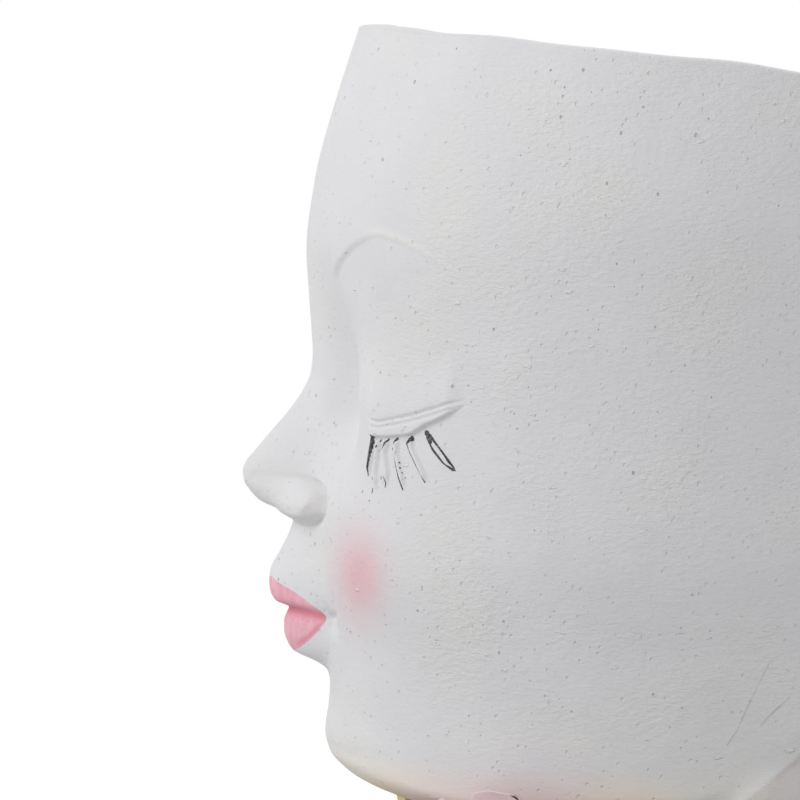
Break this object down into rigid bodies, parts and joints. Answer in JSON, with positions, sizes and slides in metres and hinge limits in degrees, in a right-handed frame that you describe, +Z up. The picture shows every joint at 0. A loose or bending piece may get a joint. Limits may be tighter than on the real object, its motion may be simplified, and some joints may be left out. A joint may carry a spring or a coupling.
{
  "type": "head planter",
  "caption": "Plant pot shaped as a doll's head, open at a sloping rim, with a flower collar round its neck and a plugged drain in its floor.",
  "frame": {"origin": "on the floor under the middle of the planter's box", "axes": "+Z up; the face looks along -Y; +X is the side of the head that the picture shows"},
  "size_m": [0.135, 0.1768, 0.188],
  "materials": {
    "cast_stone": "matte white cast",
    "collar_green": "matte",
    "petal_yellow": "hand painted",
    "petal_pink": "hand painted",
    "flower_centre": "matte",
    "leaf_green": "hand painted",
    "felt": "pressed felt",
    "rubber_black": "moulded"
  },
  "bodies": {
    "planter": {"head_shell": "cast_stone", "foot_pads": "felt", "collar_front_half": "collar_green", "collar_back_half": "collar_green", "yellow_blossom_1": "petal_yellow", "yellow_blossom_2": "petal_yellow", "yellow_blossom_3": "petal_yellow", "yellow_blossom_4": "petal_yellow", "pink_blossom_1": "petal_pink", "pink_blossom_2": "petal_pink", "pink_blossom_3": "petal_pink", "pink_blossom_4": "petal_pink", "yellow_button_1": "flower_centre", "yellow_button_2": "flower_centre", "yellow_button_3": "flower_centre", "yellow_button_4": "flower_centre", "pink_button_1": "flower_centre", "pink_button_2": "flower_centre", "pink_button_3": "flower_centre", "pink_button_4": "flower_centre", "leaf_pair_1": "leaf_green", "leaf_pair_2": "leaf_green", "leaf_pair_3": "leaf_green", "leaf_pair_4": "leaf_green", "leaf_pair_5": "leaf_green", "leaf_pair_6": "leaf_green", "leaf_pair_7": "leaf_green", "leaf_pair_8": "leaf_green"},
    "plug": {"drain_plug": "rubber_black"}
  },
  "joints": [
    {"name": "plug_pull", "type": "slide", "parent": "planter", "child": "plug", "axis": [0, 0, -1], "range_m": [0, 0.03]}
  ]
}
